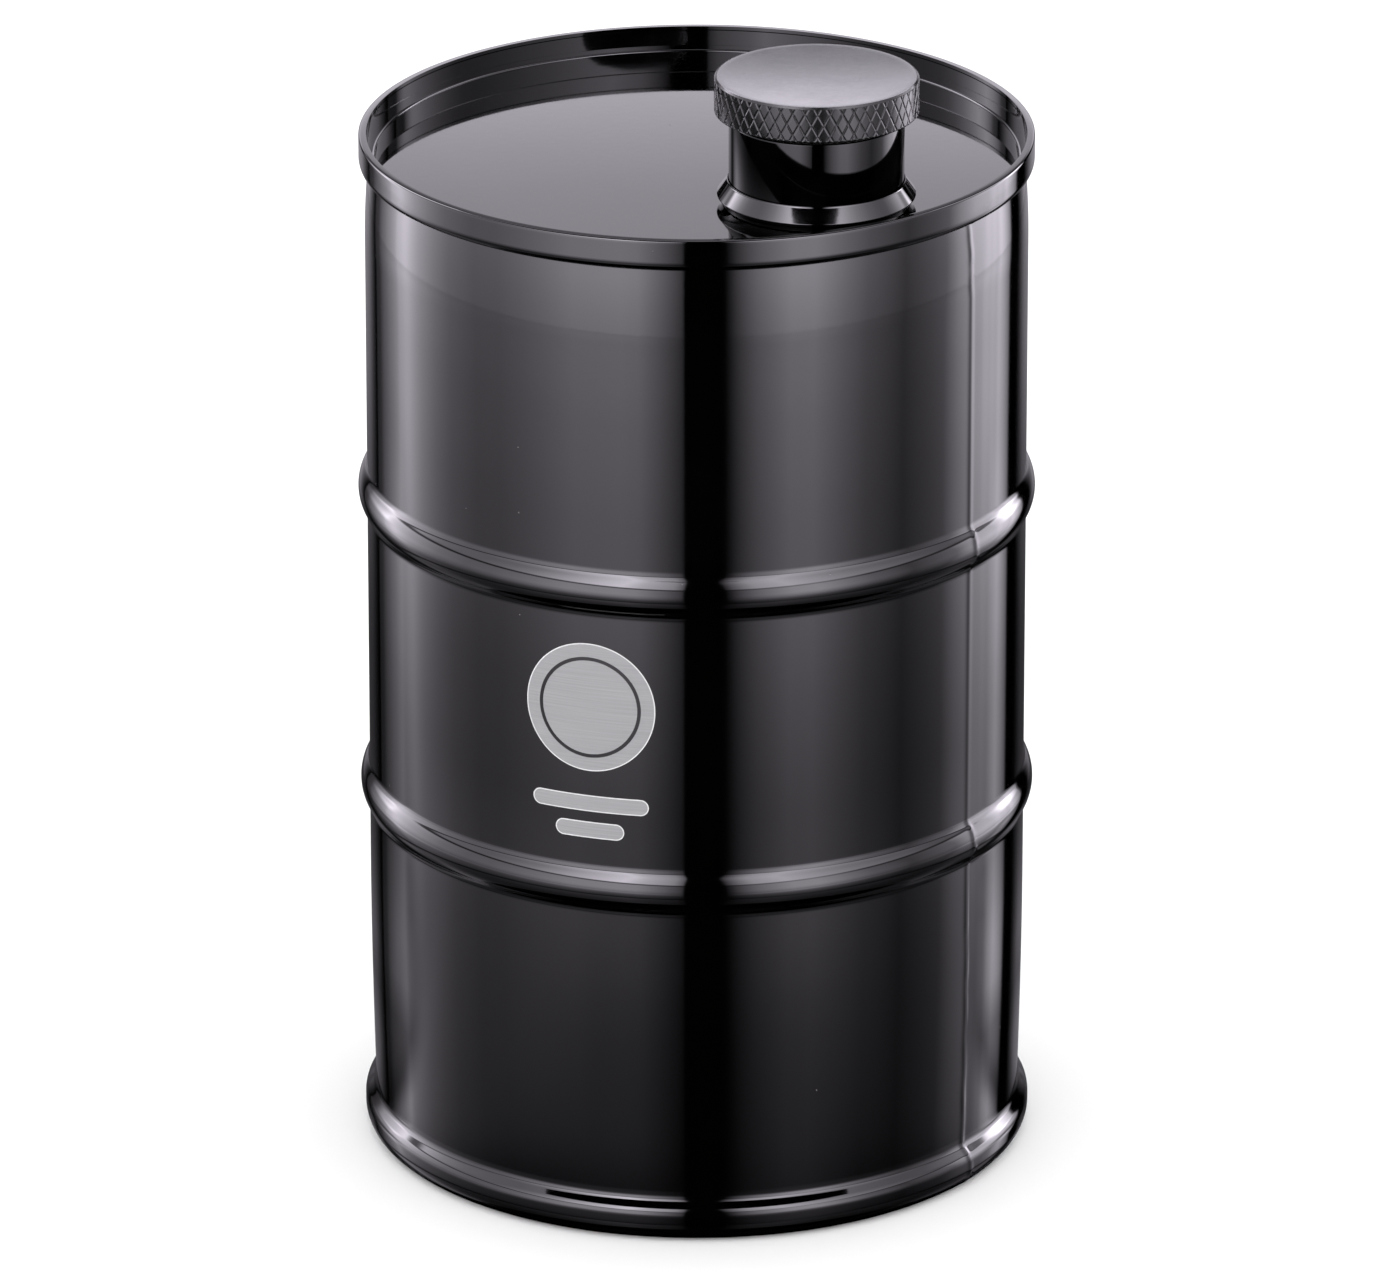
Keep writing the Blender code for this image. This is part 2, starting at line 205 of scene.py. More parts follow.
def swell(wall, crest, height, fillet, crest_radius, fillet_steps, crest_steps):
    """Runs down a wall and out to a crest at the given height: a hollow fillet, then a round."""
    across = wall + fillet - (crest - crest_radius)
    rise = math.sqrt((fillet + crest_radius) ** 2 - across**2)
    turn = math.degrees(math.atan2(rise, across))
    hollow = arc((wall + fillet, height + rise), fillet, 180, 180 + turn, fillet_steps)
    crown = arc((crest - crest_radius, height), crest_radius, turn, 0, crest_steps)
    return hollow + crown[1:]


def shoulder(wall, crest, height, fillet, crest_radius, slope, fillet_steps, crest_steps):
    """Like a swell, with a straight slope, in degrees, between its fillet and its round."""
    radii = fillet + crest_radius
    run = crest - wall - radii * (1 - math.cos(math.radians(slope)))
    rise = radii * math.sin(math.radians(slope)) + run / math.tan(math.radians(slope))
    hollow = arc((wall + fillet, height + rise), fillet, 180, 180 + slope, fillet_steps)
    crown = arc((crest - crest_radius, height), crest_radius, slope, 0, crest_steps)
    return hollow + crown


def parallel(path, distance):
    """The path moved to the right of its direction, which is inward where it runs down a wall."""
    points = np.array(path)
    along = np.diff(points, axis=0)
    along /= np.linalg.norm(along, axis=1)[:, None]
    normals = np.stack([along[:, 1], -along[:, 0]], 1)
    before = np.vstack([normals[:1], normals])
    after = np.vstack([normals, normals[-1:]])
    stretch = distance / (1 + (before * after).sum(1))
    return [tuple(p) for p in points + (before + after) * stretch[:, None]]


def sheet(path, thickness):
    return path + parallel(path, thickness)[::-1]


def held(path, least, reach=HOLD_REACH):
    """Adds a ring just inside both ends of each strip longer than least, to keep its shading flat."""
    held_path = [path[0]]
    for a, b in zip(path, path[1:]):
        length = math.dist(a, b)
        if length > least:
            for t in (reach / length, 1 - reach / length):
                held_path.append((a[0] + (b[0] - a[0]) * t, a[1] + (b[1] - a[1]) * t))
        held_path.append(b)
    return held_path


def even_angles(count):
    return np.linspace(0, 2 * math.pi, count, endpoint=False)


def finish_mesh(name, verts, faces, material):
    mesh = bpy.data.meshes.new(name)
    mesh.from_pydata(verts, [], faces)
    mesh.materials.append(material)
    mesh.shade_smooth()
    mesh.set_sharp_from_angle(angle=SHARP_ANGLE)
    obj = bpy.data.objects.new(name, mesh)
    bpy.context.scene.collection.objects.link(obj)
    return obj


def turned(name, rings, material, angles, centre=(0, 0), closed=True, warp=None):
    """Turns rings of (radius, height) or (radius, height, own centre), listed down the outer side.

    warp changes the grid of points, indexed [ring, angle, axis], before it is placed at centre.
    """
    grid = np.zeros((len(rings), len(angles), 3))
    for i, ring in enumerate(rings):
        own = ring[2] if len(ring) > 2 else (0, 0)
        grid[i, :, 0] = own[0] + ring[0] * np.cos(angles)
        grid[i, :, 1] = own[1] + ring[0] * np.sin(angles)
        grid[i, :, 2] = ring[1]
    if warp:
        warp(grid, angles)
    grid[:, :, 0] += centre[0]
    grid[:, :, 1] += centre[1]

    verts = []
    rows = []
    for i, ring in enumerate(rings):
        points = grid[i, :1] if ring[0] == 0 else grid[i]
        rows.append(np.arange(len(points)) + len(verts))
        verts += points.tolist()
    faces = []
    pairs = list(zip(rows, rows[1:]))
    if closed:
        pairs.append((rows[-1], rows[0]))
    for upper, lower in pairs:
        if len(upper) == 1:
            faces += [(upper[0], a, b) for a, b in zip(lower, np.roll(lower, -1))]
        elif len(lower) == 1:
            faces += [(a, lower[0], b) for a, b in zip(upper, np.roll(upper, -1))]
        else:
            loop = zip(upper, lower, np.roll(lower, -1), np.roll(upper, -1))
            faces += [tuple(int(v) for v in quad) for quad in loop]
    faces = [tuple(int(v) for v in face) for face in faces]
    return finish_mesh(name, verts, faces, material)


def shift_radius(grid, offset):
    """Moves every point out from the axis by its offset."""
    radius = np.hypot(grid[:, :, 0], grid[:, :, 1])
    scale = 1 + offset / np.maximum(radius, 1e-6)
    grid[:, :, 0] *= scale
    grid[:, :, 1] *= scale


def smooth_step(x):
    x = np.clip(x, 0, 1)
    return x * x * (3 - 2 * x)


# ---------------------------------------------------------------- materials


class Finish:
    """A Principled material with short ways to drive its inputs from noise."""

    def __init__(self, name, colour, roughness, metallic=0.0, ior=1.5):
        self.material = bpy.data.materials.new(name)
        self.material.use_nodes = True
        self.tree = self.material.node_tree
        self.tree.nodes.clear()
        self.shader = self.add("ShaderNodeBsdfPrincipled")
        output = self.add("ShaderNodeOutputMaterial")
        self.tree.links.new(self.shader.outputs[0], output.inputs["Surface"])
        self.shader.inputs["Base Color"].default_value = (*colour, 1)
        self.shader.inputs["Roughness"].default_value = roughness
        self.shader.inputs["Metallic"].default_value = metallic
        self.shader.inputs["IOR"].default_value = ior

    def add(self, kind, **settings):
        node = self.tree.nodes.new(kind)
        for key, value in settings.items():
            setattr(node, key, value)
        return node

    def place(self, stretch=(1, 1, 1)):
        coordinates = self.add("ShaderNodeTexCoord")
        mapping = self.add("ShaderNodeMapping")
        mapping.inputs["Scale"].default_value = stretch
        self.tree.links.new(coordinates.outputs["Object"], mapping.inputs["Vector"])
        return mapping.outputs["Vector"]

    def noise(self, scale, detail=2.0, stretch=(1, 1, 1)):
        texture = self.add("ShaderNodeTexNoise")
        texture.inputs["Scale"].default_value = scale
        texture.inputs["Detail"].default_value = detail
        self.tree.links.new(self.place(stretch), texture.inputs["Vector"])
        return texture.outputs["Fac"]

    def remap(self, value, low, high, source=(0.3, 0.7)):
        node = self.add("ShaderNodeMapRange", clamp=True)
        node.inputs["From Min"].default_value = source[0]
        node.inputs["From Max"].default_value = source[1]
        node.inputs["To Min"].default_value = low
        node.inputs["To Max"].default_value = high
        self.tree.links.new(value, node.inputs["Value"])
        return node.outputs["Result"]

    def blend_colour(self, factor, first, second):
        node = self.add("ShaderNodeMix", data_type="RGBA")
        node.inputs["A"].default_value = (*first, 1)
        node.inputs["B"].default_value = (*second, 1)
        self.tree.links.new(factor, node.inputs["Factor"])
        colours = [s for s in node.outputs if s.type == "RGBA"]
        return colours[0]

    def drive(self, socket, value):
        self.tree.links.new(value, self.shader.inputs[socket])

    def bump(self, height, distance, under=None):
        node = self.add("ShaderNodeBump")
        node.inputs["Distance"].default_value = distance
        self.tree.links.new(height, node.inputs["Height"])
        if under:
            self.tree.links.new(under, node.inputs["Normal"])
        self.drive("Normal", node.outputs["Normal"])
        return node.outputs["Normal"]


def dust(finish, scale, share, size):
    """A mask of sparse specks: a few of the cells of a Voronoi pattern hold one small dot."""
    cells = finish.add("ShaderNodeTexVoronoi")
    cells.inputs["Scale"].default_value = scale
    finish.tree.links.new(finish.place(), cells.inputs["Vector"])
    dot = finish.remap(cells.outputs["Distance"], 1, 0, (size * 0.6, size))
    chosen = finish.remap(cells.outputs["Color"], 0, 1, (1 - share, 1 - share + 0.01))
    both = finish.add("ShaderNodeMath", operation="MULTIPLY")
    finish.tree.links.new(dot, both.inputs[0])
    finish.tree.links.new(chosen, both.inputs[1])
    return both.outputs[0]


def lacquer(name, ior):
    """Stoved gloss lacquer: nearly black, mirror smooth, with faint orange peel and a little dust."""
    black = (0.0003, 0.0002, 0.00025)
    finish = Finish(name, black, 0.05, ior=ior)
    specks = dust(finish, 620, 0.10, 0.07)
    finish.drive("Base Color", finish.blend_colour(specks, black, (0.10, 0.095, 0.095)))
    finish.drive("Roughness", finish.remap(finish.noise(90, 3), 0.03, 0.06))
    peel = finish.bump(finish.noise(900, 1.5), 0.0000009)
    finish.bump(specks, 0.00001, under=peel)
    return finish.material


def satin(name, level, roughness, ior, metallic):
    """Fine-blasted, satin black coating of the turned cap."""
    finish = Finish(name, (level,) * 3, roughness, metallic, ior)
    finish.drive("Roughness", finish.remap(finish.noise(240, 4), roughness - 0.03, roughness + 0.03))
    dark = (0.75 * level, 0.75 * level, 0.8 * level)
    light = (1.25 * level, 1.25 * level, 1.3 * level)
    finish.drive("Base Color", finish.blend_colour(finish.noise(2600, 2), dark, light))
    finish.bump(finish.noise(5200, 3), 0.0000012)
    return finish.material


def brushed_steel(name, dark, light, roughness, lines, metallic=1.0):
    """Bare steel brushed or turned round an upright axis, so its fine lines run level."""
    finish = Finish(name, light, roughness, metallic)
    streaks = finish.noise(1, 4, (lines * 0.012, lines * 0.012, lines))
    finish.drive("Base Color", finish.blend_colour(streaks, dark, light))
    finish.drive("Roughness", finish.remap(streaks, roughness - 0.07, roughness + 0.09))
    finish.bump(streaks, 0.0000016)
    return finish.material


def moulded_plastic():
    finish = Finish("moulded_black_plastic", (0.02, 0.02, 0.021), 0.42, ior=1.46)
    finish.drive("Roughness", finish.remap(finish.noise(400, 3), 0.36, 0.5))
    finish.bump(finish.noise(3000, 2), 0.000002)
    return finish.material


def silicone():
    finish = Finish("milky_silicone", (0.62, 0.62, 0.60), 0.38, ior=1.41)
    finish.shader.inputs["Subsurface Weight"].default_value = 0.35
    finish.shader.inputs["Subsurface Radius"].default_value = (0.001, 0.001, 0.001)
    finish.drive("Roughness", finish.remap(finish.noise(500, 2), 0.32, 0.45))
    return finish.material


# ---------------------------------------------------------------- drum


def shell_angles():
    """Even columns round the drum, with many more beside the weld."""
    near = np.linspace(-1, 1, WELD_COLUMNS) ** 3 * WELD_SPAN + WELD_AZIMUTH
    even = even_angles(DRUM_COLUMNS) - math.pi
    clear = np.abs(even - WELD_AZIMUTH) > 1.1 * WELD_SPAN
    return np.sort(np.concatenate([even[clear], near]))


def press_weld(grid, angles):
    """Raises the weld line and the sheet beside it, fading out below the rim band.

    Waves some millimetres long keep the line from looking ruled.
    """
    turn = (angles - WELD_AZIMUTH + math.pi) % (2 * math.pi) - math.pi
    reach = turn * BODY_RADIUS
    z = grid[:, :, 2]
    fade = smooth_step((HEIGHT - RIM_BAND - z) / WELD_FADE)
    wander = 0.15 * WELD_WIDTH * np.sin(z * 900) + 0.1 * WELD_WIDTH * np.sin(z * 2300 + 1)
    line = np.exp(-(((reach[None, :] - wander) / WELD_WIDTH) ** 2))
    line = line * (1 + 0.25 * np.sin(z * 1500) * np.sin(z * 410))
    peak = np.exp(-np.abs(reach) / PEAK_REACH)[None, :]
    shift_radius(grid, (WELD_RISE * line + PEAK_RISE * peak) * fade)


def drum_shell(material):
    band_bottom = HEIGHT - RIM_BAND
    shoulder_radius = RIM_RADIUS - RIM_CURL
    shoulder_z = band_bottom - RIM_CURL
    path = [(RIM_RADIUS - RIM_LIP_WIDTH, HEIGHT)]
    path += arc((RIM_RADIUS - EDGE_ROUND, HEIGHT - EDGE_ROUND), EDGE_ROUND, 90, 0, 6)
    path += arc((shoulder_radius, band_bottom), RIM_CURL, 0, -84, 12)
    for t in np.linspace(0, 1, 16):
        swing = (BODY_RADIUS - shoulder_radius) * (1 - (1 - t) ** 2)
        path.append((shoulder_radius + swing, shoulder_z - NECK_IN_LENGTH * t - NECK_IN_START))
    for height in HOOP_HEIGHTS:
        crest = BODY_RADIUS + HOOP_HEIGHT
        upper = swell(BODY_RADIUS, crest, height, HOOP_FILLET, HOOP_CREST_RADIUS, 8, 14)
        path += upper + [(radius, 2 * height - z) for radius, z in reversed(upper[:-1])]
    chime = shoulder(
        WALL_AT_CHIME, CHIME_RADIUS, CHIME_TOP, CHIME_FILLET, CHIME_CREST_RADIUS,
        CHIME_SLOPE_ANGLE, 10, 10,
    )
    for t in np.linspace(0, 0.98, 24):
        radius = BODY_RADIUS + (WALL_AT_CHIME - BODY_RADIUS) * t**TAPER_POWER
        path.append((radius, WALL_TAPER_TOP + (chime[0][1] - WALL_TAPER_TOP) * t))
    path += chime
    turn_centre = (CHIME_RADIUS - CHIME_TURN_UNDER, CHIME_BOTTOM)
    path += arc(turn_centre, CHIME_TURN_UNDER, 0, -CHIME_TURN_ANGLE, 14)
    path += [(BASE_EDGE_RADIUS, 0), (BASE_EDGE_RADIUS - BASE_LIP_WIDTH, 0)]
    rings = sheet(held(path, LONG_STRIP), SHEET)
    return turned("drum_shell", rings, material, shell_angles(), warp=press_weld)


def drum_lid(material):
    """The stepped pan, whose flat panel reaches from its edge to the hole round the neck."""
    flange = RIM_RADIUS - RIM_LIP_WIDTH
    path = [(LEDGE_INNER_RADIUS - LEDGE_RUN, PANEL_Z), (LEDGE_INNER_RADIUS, PANEL_Z)]
    path += arc((LEDGE_INNER_RADIUS + PAN_BEND, LEDGE_Z - PAN_BEND), PAN_BEND, 175, 90, 8)
    path += [(flange, LEDGE_Z), (flange, LID_HIGH.z)]
    neck = (NECK_CENTRE.x, NECK_CENTRE.y)
    hole = [
        (LID_HOLE_RADIUS, PANEL_Z - PAN_SHEET, neck),
        (LID_HOLE_RADIUS, PANEL_Z, neck),
    ]
    rings = hole + sheet(held(path, LID_LONG_STRIP, LID_HOLD_REACH), PAN_SHEET)
    return turned("drum_lid", rings, material, even_angles(DRUM_COLUMNS))


def drum_base(material):
    flange = BASE_HIGH.x
    bend = 2 * PAN_BEND
    path = [(0, BASE_HIGH.z)]
    path += arc((flange - bend, BASE_HIGH.z - bend), bend, 90, 0, 8)
    path += [(flange, BASE_LOW.z)]
    rings = sheet(path, PAN_SHEET)
    return turned("drum_base", rings, material, even_angles(DRUM_COLUMNS), closed=False)


# ---------------------------------------------------------------- mark


def wrapped_plate(name, half_width, half_height_at, azimuth, z, lift, material, columns):
    """A thin closed plate bent round the drum. half_height_at gives its half height at each width.

    It stops just short of its full width, where a round end would have no height.
    """
    across = -np.cos(np.linspace(0, math.pi, columns)) * half_width
    across[0] *= PLATE_END_SHARE
    across[-1] *= PLATE_END_SHARE
    angles = azimuth + across / BODY_RADIUS
    half = np.array([half_height_at(u) for u in across])
    outer = BODY_RADIUS + lift
    inner = BODY_RADIUS - SHEET / 2
    corners = ((outer, 1), (outer, -1), (inner, -1), (inner, 1))
    verts = []
    for angle, height in zip(angles, half):
        for radius, side in corners:
            verts.append((radius * math.cos(angle), radius * math.sin(angle), z + side * height))
    faces = []
    for i in range(columns - 1):
        for k in range(4):
            a, b = 4 * i + k, 4 * i + (k + 1) % 4
            faces.append((a, b, b + 4, a + 4))
    faces.append((3, 2, 1, 0))
    last = 4 * (columns - 1)
    faces.append((last, last + 1, last + 2, last + 3))
    return finish_mesh(name, verts, faces, material)


def disc_height(radius):
    return lambda u: math.sqrt(max(radius**2 - u**2, 1e-12))


def bar_height(half_width, half_height):
    """A bar with round ends."""

    def height(u):
        into_end = max(abs(u) - (half_width - half_height), 0)
        return math.sqrt(max(half_height**2 - into_end**2, 1e-12))

    return height


def etched_mark(face, edge, ring_material):
    """A plain disc with one ring left in the lacquer, over two plain bars."""
    pieces = []
    # Each shape lies on a wider, lower plate of lighter steel, which shows as a painted highlight
    # along its edges.
    for part, grow, lift, material in (
        ("edge", MARK_EDGE, MARK_LIFT * 0.6, edge),
        ("face", 0, MARK_LIFT, face),
    ):
        radius = MARK_RADIUS + grow
        pieces.append(
            wrapped_plate(
                "mark_disc_" + part, radius, disc_height(radius), MARK_AZIMUTH, MARK_Z, lift,
                material, MARK_COLUMNS,
            )
        )
        for name, half_width, half_height, z in BARS:
            pieces.append(
                wrapped_plate(
                    f"mark_{name}_bar_{part}", half_width + grow,
                    bar_height(half_width + grow, half_height + grow),
                    MARK_AZIMUTH, z, lift, material, MARK_COLUMNS,
                )
            )
    pieces.append(mark_ring(ring_material))
    return pieces


def mark_ring(material):
    """The ring of lacquer on the disc, a closed band bent round the drum."""
    outer, inner = (MARK_RADIUS * share for share in MARK_RING)
    verts = []
    for turn in even_angles(MARK_COLUMNS):
        for radius, depth in ((outer, 1.5), (inner, 1.5), (inner, -1), (outer, -1)):
            angle = MARK_AZIMUTH + radius * math.cos(turn) / BODY_RADIUS
            reach = BODY_RADIUS + depth * MARK_LIFT
            z = MARK_Z + radius * math.sin(turn)
            verts.append((reach * math.cos(angle), reach * math.sin(angle), z))
    faces = []
    for i in range(MARK_COLUMNS):
        j = (i + 1) % MARK_COLUMNS
        for k in range(4):
            m = (k + 1) % 4
            faces.append((4 * i + k, 4 * j + k, 4 * j + m, 4 * i + m))
    return finish_mesh("mark_ring", verts, faces, material)


# ---------------------------------------------------------------- neck and pourer


def neck_piece(name, rings, material, warp=None, columns=NECK_COLUMNS, closed=True):
    centre = (NECK_CENTRE.x, NECK_CENTRE.y)
    return turned(name, rings, material, even_angles(columns), centre, closed, warp)


def neck_sleeve(material):
    underside = PANEL_Z - PAN_SHEET - UNDERSIDE_GAP
    top = TUBE_HIGH.z
    rings = arc((NECK_BORE + EDGE_ROUND / 2, top - EDGE_ROUND / 2), EDGE_ROUND / 2, 180, 90, 4)
    rings += arc((NECK_RADIUS - EDGE_ROUND, top - EDGE_ROUND), EDGE_ROUND, 90, 0, 8)
    rings += [
        (NECK_RADIUS, underside),
        (NECK_FLANGE_RADIUS, underside),
        (NECK_FLANGE_RADIUS, underside - NECK_FLANGE),
        (NECK_SEAT_RADIUS, underside - NECK_FLANGE),
        (NECK_SEAT_RADIUS, SEAL_LOW.z - GAP),
        (NECK_BORE, SEAL_LOW.z - GAP),
    ]
    return neck_piece("neck_sleeve", rings, material)


def neck_foot_ring(material):
    """A cone that runs out from the neck to a crisp edge, and turns in under it to the lid."""
    rings = shoulder(
        COLLAR_INNER_RADIUS, COLLAR_RADIUS, COLLAR_CREST_Z, COLLAR_FILLET, COLLAR_EDGE,
        COLLAR_SLOPE_ANGLE, 8, 6,
    )
    rings += arc((COLLAR_RADIUS - COLLAR_EDGE, COLLAR_CREST_Z), COLLAR_EDGE, 0, -40, 3)
    foot = (COLLAR_FOOT_RADIUS, COLLAR_LOW.z)
    knee = rings[-1]
    for t in np.linspace(0.2, 1, 6):
        radius = knee[0] + (foot[0] - knee[0]) * t**COLLAR_UNDERCUT_POWER
        rings.append((radius, knee[1] + (foot[1] - knee[1]) * t))
    rings.append((COLLAR_INNER_RADIUS, COLLAR_LOW.z))
    return neck_piece("neck_foot_ring", rings, material)


def thread_depth(grid, angles, low, high):
    """How deep a right-hand thread is cut at each point, from 0 to 1, fading out at both ends."""
    z = grid[:, :, 2]
    phase = (z / THREAD_PITCH - angles[None, :] / (2 * math.pi)) % 1
    groove = smooth_step(np.abs(phase - 0.5) * 4 - 0.6)
    ends = smooth_step((z - low) / THREAD_FADE) * smooth_step((high - z) / THREAD_FADE)
    return groove * ends


def neck_bush(material):
    outer = (BUSH_HIGH.x - BUSH_LOW.x) / 2
    inside = [(BUSH_INNER_RADIUS, z) for z in np.linspace(BUSH_LOW.z, BUSH_HIGH.z, 56)]
    rings = [(outer, BUSH_HIGH.z), (outer, BUSH_LOW.z)] + inside

    def cut_thread(grid, angles):
        depth = thread_depth(grid, angles, BUSH_LOW.z, BUSH_HIGH.z)
        depth[:2] = 0
        shift_radius(grid, depth * THREAD_DEPTH)

    return neck_piece("neck_bush", rings, material, cut_thread)


def pourer(material):
    """The disc with its spout, which flares to a thin lip and is cut at a slant."""
    disc_radius = (POURER_HIGH.x - POURER_LOW.x) / 2
    disc_top = POURER_LOW.z + POURER_DISC
    lip_start = POURER_HIGH.z - SPOUT_LIP_LENGTH
    wall = SPOUT_RADIUS - SPOUT_BORE
    flare = [(SPOUT_RADIUS + (SPOUT_LIP_RADIUS - SPOUT_RADIUS) * t**2,
              lip_start + (POURER_HIGH.z - lip_start) * t) for t in np.linspace(1, 0, 10)]
    rings = flare
    foot_centre = (SPOUT_RADIUS + SPOUT_FILLET, disc_top + SPOUT_FILLET)
    rings += arc(foot_centre, SPOUT_FILLET, 180, 270, 5)
    rings += [(disc_radius, disc_top), (disc_radius, POURER_LOW.z), (SPOUT_BORE, POURER_LOW.z)]
    rings += [(radius - wall, z) for radius, z in flare[::-1]]

    def slant(grid, angles):
        drop = math.tan(SPOUT_CUT_ANGLE)
        share = np.clip((grid[:, :, 2] - disc_top) / (POURER_HIGH.z - disc_top), 0, 1)
        along = grid[:, :, 0] * math.cos(NECK_AZIMUTH) + grid[:, :, 1] * math.sin(NECK_AZIMUTH)
        grid[:, :, 2] -= (SPOUT_LIP_RADIUS - along) * drop * smooth_step(share)

    return neck_piece("pourer", rings, material, slant)


def plain_ring(name, low, high, inner, round_edge, material, columns=NECK_COLUMNS):
    """A turned ring with rounded edges that fills the box from low to high."""
    outer = (high.x - low.x) / 2
    r = round_edge
    rings = arc((inner + r, high.z - r), r, 180, 90, 4)
    rings += arc((outer - r, high.z - r), r, 90, 0, 4)
    rings += arc((outer - r, low.z + r), r, 0, -90, 4)
    rings += arc((inner + r, low.z + r), r, -90, -180, 4)
    middle = ((low.x + high.x) / 2, (low.y + high.y) / 2)
    return turned(name, rings, material, even_angles(columns), middle)


# ---------------------------------------------------------------- cap


def cap_face(material):
    """The knob's turned face, a shallow dish let in flush with the edge of the band."""
    top = KNOB_HIGH.z
    radius = CAP_RADIUS - CAP_CHAMFER - FACE_MARGIN
    rings = [(0, top - DISH_DEPTH)]
    for share in np.linspace(0.08, DISH_TO, 26):
        rings.append((radius * share, top - DISH_DEPTH * (1 - (share / DISH_TO) ** 2)))
    rings += [(radius - FACE_MARGIN, top), (radius, top - FACE_MARGIN)]
    rings += [(radius, top - FACE_DEPTH), (0, top - FACE_DEPTH)]
    return neck_piece("cap_face", rings, material, closed=False)


def cap_handle(material):
    """The knob: crossed knurl on its band, a seat for its face and a recess for the plug."""
    top, bottom = KNOB_HIGH.z, KNOB_LOW.z
    chamfer = CAP_CHAMFER
    inner = CAP_RADIUS - chamfer - FACE_MARGIN
    rings = [(0, top - FACE_DEPTH), (inner, top - FACE_DEPTH), (inner, top)]
    rings += [(CAP_RADIUS - chamfer, top), (CAP_RADIUS - KNURL_DEPTH, top - chamfer)]
    band = np.linspace(top - chamfer, bottom + chamfer, 44)
    first = len(rings)
    rings += [(CAP_RADIUS, z) for z in band]
    rings += arc((CAP_RADIUS - chamfer, bottom + chamfer), chamfer, -15, -90, 6)
    rings += [
        (RECESS_RADIUS, bottom),
        (RECESS_RADIUS, bottom + RECESS_DEPTH),
        (0, bottom + RECESS_DEPTH),
    ]

    def knurl(grid, angles):
        spacing = 2 * math.pi * CAP_RADIUS / KNURL_LINES
        z = grid[:, :, 2] - (top + bottom) / 2
        around = angles[None, :] * CAP_RADIUS
        cut = np.zeros(z.shape)
        for lean in (-1, 1):
            phase = ((around + lean * z * math.tan(KNURL_ANGLE)) / spacing) % 1
            beside = np.abs(phase - 0.5) * spacing * math.cos(KNURL_ANGLE)
            cut = np.maximum(cut, 1 - beside / (KNURL_GROOVE / 2))
        crown = np.clip(cut, 0, 1) * KNURL_DEPTH
        on_band = np.zeros((len(grid), 1))
        on_band[first : first + len(band)] = 1
        shift_radius(grid, -crown * on_band)

    return neck_piece("cap_handle", rings, material, knurl, KNURL_COLUMNS, closed=False)


def cap_stopper(material):
    """The hollow plug under the knob, with the thread cut into its skirt."""
    ceiling = KNOB_LOW.z + GAP
    bottom = PLUG_LOW.z
    skirt = np.linspace(ceiling, bottom + PLUG_CHAMFER, 60)
    rings = [(0, PLUG_HIGH.z), (PLUG_FLANGE_RADIUS, PLUG_HIGH.z), (PLUG_FLANGE_RADIUS, ceiling)]
    first = len(rings)
    rings += [(PLUG_RADIUS, z) for z in skirt]
    rings += [
        (PLUG_RADIUS - PLUG_CHAMFER, bottom),
        (PLUG_BORE, bottom),
        (PLUG_BORE, ceiling),
        (0, ceiling),
    ]

    def cut_thread(grid, angles):
        depth = thread_depth(grid, angles, bottom, ceiling)
        depth[:first] = 0
        depth[first + len(skirt) :] = 0
        shift_radius(grid, -depth * THREAD_DEPTH)

    return neck_piece("cap_stopper", rings, material, cut_thread, closed=False)


# ---------------------------------------------------------------- studio


# Glow of the tent's wall, by the direction it lies in, in degrees from the front towards the
# right: low on the wall, at mid height, and high on it.
WALL_GLOW = (
    (-144, 0.3, 0.3, 0.3),
    (-139, 0.6, 0.5, 1.0),
    (-132, 3.1, 1.5, 6.5),
    (-127, 5.8, 1.2, 10.0),
    (-122, 10.0, 1.2, 9.0),
    (-119, 7.7, 1.1, 7.8),
    (-116, 6.6, 1.0, 6.5),
    (-107, 4.5, 0.6, 3.4),
    (-99, 3.3, 0.3, 2.3),
    (-91, 2.4, 0.2, 2.0),
    (-79, 1.9, 0.2, 2.0),
    (-69, 2.1, 0.2, 2.7),
    (-60, 2.7, 0.5, 3.8),
    (-52, 3.4, 0.7, 5.5),
    (-41, 4.5, 1.2, 8.5),
    (-25, 4.9, 1.6, 13.0),
    (-19, 4.6, 1.4, 9.0),
    (-8, 1.7, 0.6, 5.0),
    (-4.5, 0.8, 0.3, 2.0),
    (9, 0.0, 0.0, 0.0),
    (11, 0.3, 0.2, 1.0),
    (20, 2.9, 1.6, 6.0),
    (31, 5.3, 3.2, 8.5),
    (39, 5.4, 3.4, 7.0),
    (50, 3.3, 1.8, 5.0),
    (58, 2.0, 0.6, 3.8),
    (73, 0.8, 0.3, 2.3),
    (85, 1.4, 0.3, 1.6),
    (91, 1.8, 0.3, 1.4),
    (97, 3.9, 0.4, 1.4),
    (105, 5.7, 0.8, 2.2),
    (114, 5.6, 1.3, 3.6),
    (119, 8.2, 1.6, 4.4),
    (122, 12.9, 1.8, 5.0),
    (126, 15.3, 2.0, 5.5),
    (129, 11.0, 1.5, 5.0),
    (134.5, 3.3, 0.4, 1.0),
    (135.5, 0.0, 0.2, 0.3),
)
FRONT_GAP = (-4.5, 9.0)
ZONE_HEIGHTS = (0.225, 0.25, 0.28, 0.31)
# The foot of the wall is dimmer, and most of all on its far sides.
FOOT_HEIGHTS = (0.0, 0.02, 0.05)
FOOT_SHARES = (0.75, 0.85, 1.0)
FAR_FROM = 114
FAR_SPAN = 10
FAR_FOOT_SHARES = (0.36, 1.0)
FAR_FOOT_HEIGHTS = (0.06, 0.11)
